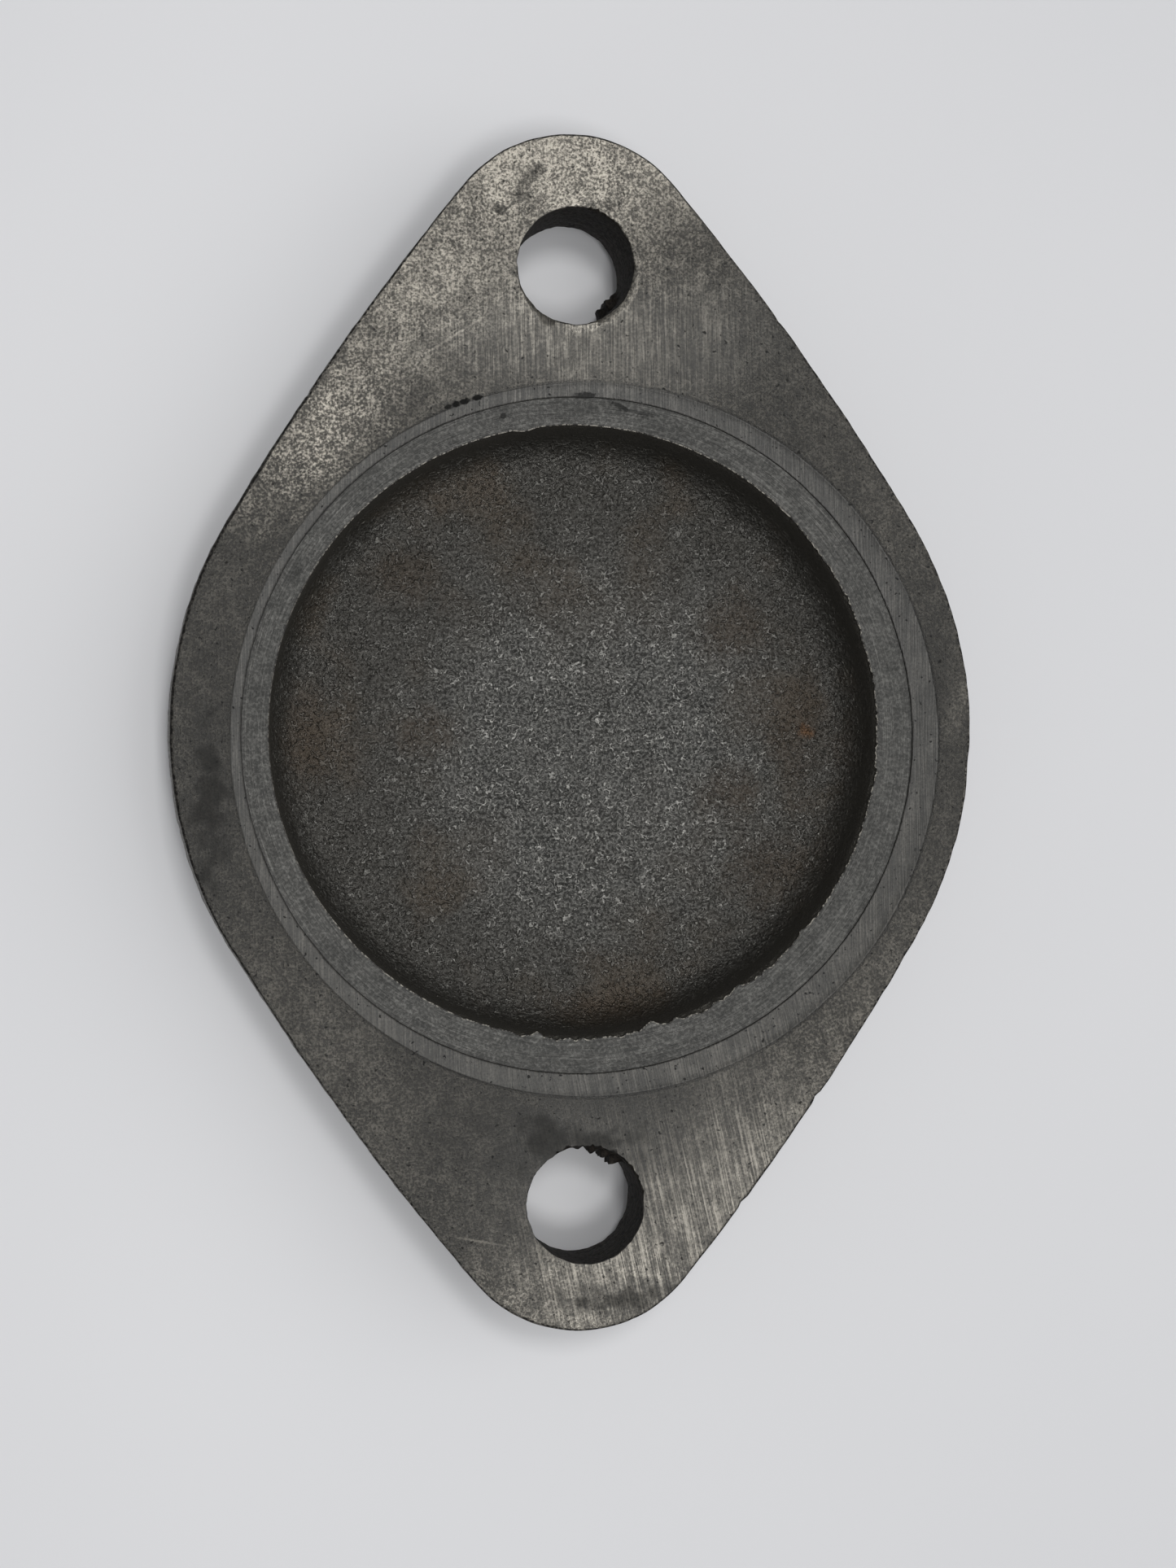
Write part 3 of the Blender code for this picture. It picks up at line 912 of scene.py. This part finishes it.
def recess_iron():
    """The recess: a granular floor with painted glints on its ridges, browner towards its walls and darker
    there by painted shade; its walls are almost black.
    """
    paint = Painter("recess_iron")
    ridges, grains = sand_grain(paint)
    mottle = paint.ramp(paint.grain(2.6, 3.0, 0.6), 0.3, 0.7)
    cloud = paint.grain(9.0, 2.0, 0.5)
    crisp = paint.ramp(grains, 0.42, 0.6)
    # Painted highlight: the ridges are painted as bright glints in the colour, on top of their bump; the
    # grains add tone
    shade = paint.plus(paint.times(ridges, 0.4), paint.times(crisp, 0.2), paint.times(mottle, 0.05))
    colour = paint.mix(shade, RECESS_DARK, RECESS_GRAIN_AND_GLINT)
    # Painted shade: the floor darkens towards its walls, more on its left and top; the rust below follows the
    # same mask
    painted_wall_shade = paint.ramp(paint.plus(paint.radius_from(WALL_SHADE_CENTRE), paint.times(cloud, 8.0)), 14.0, 29.0)
    colour = paint.mix(paint.times(painted_wall_shade, 0.6), colour, RECESS_PAINTED_SHADE)
    brown = paint.times(paint.ramp(cloud, 0.48, 0.7), paint.plus(paint.times(painted_wall_shade, 0.35), 0.05))
    colour = paint.mix(brown, colour, RECESS_BROWN)
    rusty = paint.patches(paint.largest, [(*spot, 0, 0.9, 0.5, 1.0) for spot in BROWN_PATCHES])
    colour = paint.mix(paint.times(rusty, 0.5), colour, RUSTY_BROWN)
    colour = paint.mix(paint.times(paint.patch(*RUST_SPOT), 0.7), colour, RUST)
    rise = paint.ramp(paint.z, RECESS_FLOOR + 0.3, RECESS_FLOOR + 3.6)
    colour = paint.mix(rise, colour, RECESS_WALL)
    height = paint.plus(paint.times(ridges, 0.5), paint.times(grains, 0.6))
    roughness = paint.plus(paint.ramp(grains, 0.3, 0.7, 0.36, 0.26), paint.times(rise, 0.25))
    return paint.finish(colour, roughness, paint.bump(height, 0.34), 0.6)


def cast_skin(name, dark, light, grain_depth, rough_low, rough_high, metallic):
    """As-cast skin in the given range of colours."""
    paint = Painter(name)
    ridges, grains = sand_grain(paint)
    mottle = paint.ramp(paint.grain(3.0, 5.0, 0.65), 0.25, 0.75)
    crisp = paint.ramp(grains, 0.35, 0.65)
    shade = paint.plus(paint.times(mottle, 0.3), paint.times(ridges, 0.2), paint.times(crisp, 0.5))
    height = paint.plus(paint.times(ridges, 0.5), paint.times(grains, 0.8))
    roughness = paint.ramp(grains, 0.3, 0.7, rough_high, rough_low)
    return paint.finish(paint.mix(shade, dark, light), roughness, paint.bump(height, grain_depth), metallic)


def cover_materials():
    """The cover's materials, in the order of its zones."""
    return [
        recess_iron(),
        turned_iron(),
        ground_iron(),
        worn_edge(),
        cast_skin("cast_side", SIDE_DARK, SIDE_LIGHT, 0.08, 0.45, 0.7, 0.45),
        cast_skin("cast_back", BACK_DARK, BACK_LIGHT, 0.08, 0.45, 0.7, 0.45),
        cast_skin("hole_wall", HOLE_DARK, HOLE_LIGHT, 0.06, 0.7, 0.9, 0.3),
    ]


def cut(target, cutters):
    """Cuts the cutters out of the target's mesh and removes them."""
    for cutter in cutters:
        boolean = target.modifiers.new(cutter.name, "BOOLEAN")
        boolean.operation = "DIFFERENCE"
        boolean.solver = "EXACT"
        boolean.object = cutter
    bpy.context.view_layer.update()
    evaluated = target.evaluated_get(bpy.context.evaluated_depsgraph_get())
    mesh = bpy.data.meshes.new_from_object(evaluated)
    target.modifiers.clear()
    target.data = mesh
    for cutter in cutters:
        bpy.data.objects.remove(cutter, do_unlink=True)


def build_cover():
    materials = cover_materials()
    loft = Loft()
    inner = add_register(loft, add_recess(loft))
    outline = add_flange_face(loft, inner)
    add_sides_and_back(loft, outline)
    cover = loft.build("iron_cover")
    cutters = [hole_cutter(*row) for row in HOLES]
    for piece in [cover] + cutters:
        for material in materials:
            piece.data.materials.append(material)
    cut(cover, cutters)
    cover.data.shade_smooth()
    cover.data.set_sharp_from_angle(angle=radians(SHARP_ANGLE))
    return cover


def build_floor():
    half = FLOOR_HALF * MM
    mesh = bpy.data.meshes.new("floor")
    corners = [(-half, -half, 0.0), (half, -half, 0.0), (half, half, 0.0), (-half, half, 0.0)]
    mesh.from_pydata(corners, [], [(0, 1, 2, 3)])
    floor = bpy.data.objects.new("floor", mesh)
    bpy.context.scene.collection.objects.link(floor)
    paint = Painter("pale_floor")
    colour = paint.mix(paint.grain(60.0, 3.0, 0.5), TABLE_DARK, TABLE_LIGHT)
    mesh.materials.append(paint.finish(colour, 0.4, paint.bump(paint.grain(8.0), 0.01), 0.0))
    return floor


def build_lights():
    for name, place, target, size, power in LIGHTS:
        data = bpy.data.lights.new(name, "AREA")
        data.shape = "RECTANGLE"
        data.size, data.size_y = size[0] * MM, size[1] * MM
        data.energy = power
        lamp = bpy.data.objects.new(name, data)
        lamp.location = Vector(place) * MM
        lamp.rotation_euler = (Vector(target) - Vector(place)).to_track_quat("-Z", "Y").to_euler()
        bpy.context.scene.collection.objects.link(lamp)
    world = bpy.data.worlds.new("studio")
    world.use_nodes = True
    background = world.node_tree.nodes["Background"]
    background.inputs["Color"].default_value = SKY_COLOUR
    background.inputs["Strength"].default_value = SKY_STRENGTH
    bpy.context.scene.world = world


def build_camera():
    back = (CAMERA_PLACE - CAMERA_TARGET).normalized()
    right = CAMERA_UP.cross(back).normalized()
    above = back.cross(right)
    data = bpy.data.cameras.new("camera")
    data.sensor_width = CAMERA_SENSOR
    data.lens = CAMERA_LENS
    data.clip_start, data.clip_end = CAMERA_CLIP[0] * MM, CAMERA_CLIP[1] * MM
    camera = bpy.data.objects.new("camera", data)
    facing = Matrix((right, above, back)).transposed().to_4x4()
    camera.matrix_world = Matrix.Translation(CAMERA_PLACE * MM) @ facing
    bpy.context.scene.collection.objects.link(camera)
    bpy.context.scene.camera = camera


cover = build_cover()
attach(cover, "root")
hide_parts("cover_casting")
build_floor()
build_lights()
build_camera()
bpy.context.scene.view_settings.view_transform = "Standard"
